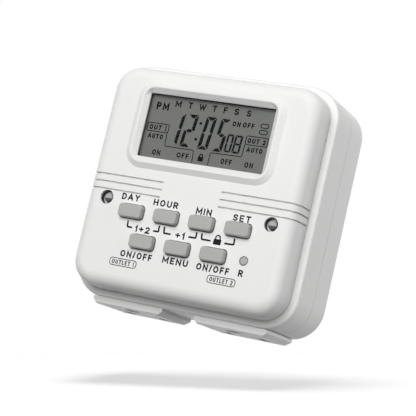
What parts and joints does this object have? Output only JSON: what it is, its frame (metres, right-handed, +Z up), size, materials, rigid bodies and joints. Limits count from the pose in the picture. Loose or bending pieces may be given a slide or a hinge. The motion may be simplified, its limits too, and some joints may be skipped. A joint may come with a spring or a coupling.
{
  "type": "digital plug-in timer",
  "caption": "White square plug-in timer with a recessed display, two rows of grey keys and a reset pin on the front, outlets in its lower edge and a grounded plug on its back.",
  "frame": {"origin": "centre of the flat back face, which lies against the wall", "axes": "+X to the right seen from the front, +Y into the wall along the plug's blades, +Z up"},
  "size_m": [0.081, 0.0607, 0.0835],
  "materials": {
    "case_plastic": "fine moulded texture, white",
    "key_plastic": "grained mid grey",
    "window_plastic": "clear, moulded",
    "cell_glass": "reflective liquid crystal cell, grey ground",
    "silicone": "moulded silicone",
    "board_laminate": "glass-epoxy laminate with green solder resist",
    "lamp_lens": "clear-cast epoxy, unlit",
    "component_case": "moulded epoxy",
    "battery_steel": "nickel-plated",
    "crystal_can": "drawn can",
    "capacitor_can": "sleeved can",
    "contact_brass": "stamped, bright",
    "plug_brass": "nickel-plated brass",
    "screw_steel": "zinc-plated"
  },
  "bodies": {
    "housing": {"backup_battery": "battery_steel", "board_header": "component_case", "board_screws": "screw_steel", "case_screws": "screw_steel", "clock_crystal": "crystal_can", "contact_strips": "silicone", "control_board": "board_laminate", "controller_chip": "component_case", "diodes": "component_case", "display_frame": "case_plastic", "display_glass": "cell_glass", "display_window": "window_plastic", "film_capacitor": "component_case", "front_case": "case_plastic", "front_cover": "case_plastic", "ground_bar": "contact_brass", "ground_pin": "plug_brass", "hot_contact_left": "contact_brass", "hot_contact_right": "contact_brass", "key_mat": "silicone", "lamp_left": "lamp_lens", "lamp_right": "lamp_lens", "line_blade": "plug_brass", "neutral_bar": "contact_brass", "neutral_blade": "plug_brass", "outlet_left": "case_plastic", "outlet_right": "case_plastic", "power_board": "board_laminate", "rear_case": "case_plastic", "relay_left": "component_case", "relay_right": "component_case", "smoothing_capacitor": "capacitor_can", "varistor": "component_case"},
    "day_key": {"day_key": "key_plastic"},
    "hour_key": {"hour_key": "key_plastic"},
    "minute_key": {"minute_key": "key_plastic"},
    "set_key": {"set_key": "key_plastic"},
    "outlet1_key": {"outlet1_key": "key_plastic"},
    "menu_key": {"menu_key": "key_plastic"},
    "outlet2_key": {"outlet2_key": "key_plastic"},
    "reset_button": {"reset_button": "key_plastic"}
  },
  "joints": [
    {"name": "day_key_press", "type": "slide", "parent": "housing", "child": "day_key", "axis": [0, 1, 0], "range_m": [0, 0.001], "stiffness_N_per_m": 1000, "springref_m": -0.0005, "deforming": ["key_mat"]},
    {"name": "hour_key_press", "type": "slide", "parent": "housing", "child": "hour_key", "axis": [0, 1, 0], "range_m": [0, 0.001], "stiffness_N_per_m": 1000, "springref_m": -0.0005, "deforming": ["key_mat"]},
    {"name": "minute_key_press", "type": "slide", "parent": "housing", "child": "minute_key", "axis": [0, 1, 0], "range_m": [0, 0.001], "stiffness_N_per_m": 1000, "springref_m": -0.0005, "deforming": ["key_mat"]},
    {"name": "set_key_press", "type": "slide", "parent": "housing", "child": "set_key", "axis": [0, 1, 0], "range_m": [0, 0.001], "stiffness_N_per_m": 1000, "springref_m": -0.0005, "deforming": ["key_mat"]},
    {"name": "outlet1_key_press", "type": "slide", "parent": "housing", "child": "outlet1_key", "axis": [0, 1, 0], "range_m": [0, 0.001], "stiffness_N_per_m": 1000, "springref_m": -0.0005, "deforming": ["key_mat"]},
    {"name": "menu_key_press", "type": "slide", "parent": "housing", "child": "menu_key", "axis": [0, 1, 0], "range_m": [0, 0.001], "stiffness_N_per_m": 1000, "springref_m": -0.0005, "deforming": ["key_mat"]},
    {"name": "outlet2_key_press", "type": "slide", "parent": "housing", "child": "outlet2_key", "axis": [0, 1, 0], "range_m": [0, 0.001], "stiffness_N_per_m": 1000, "springref_m": -0.0005, "deforming": ["key_mat"]},
    {"name": "reset_button_press", "type": "slide", "parent": "housing", "child": "reset_button", "axis": [0, 1, 0], "range_m": [0, 0.0008], "stiffness_N_per_m": 1000, "springref_m": -0.0005, "deforming": ["key_mat"]}
  ]
}
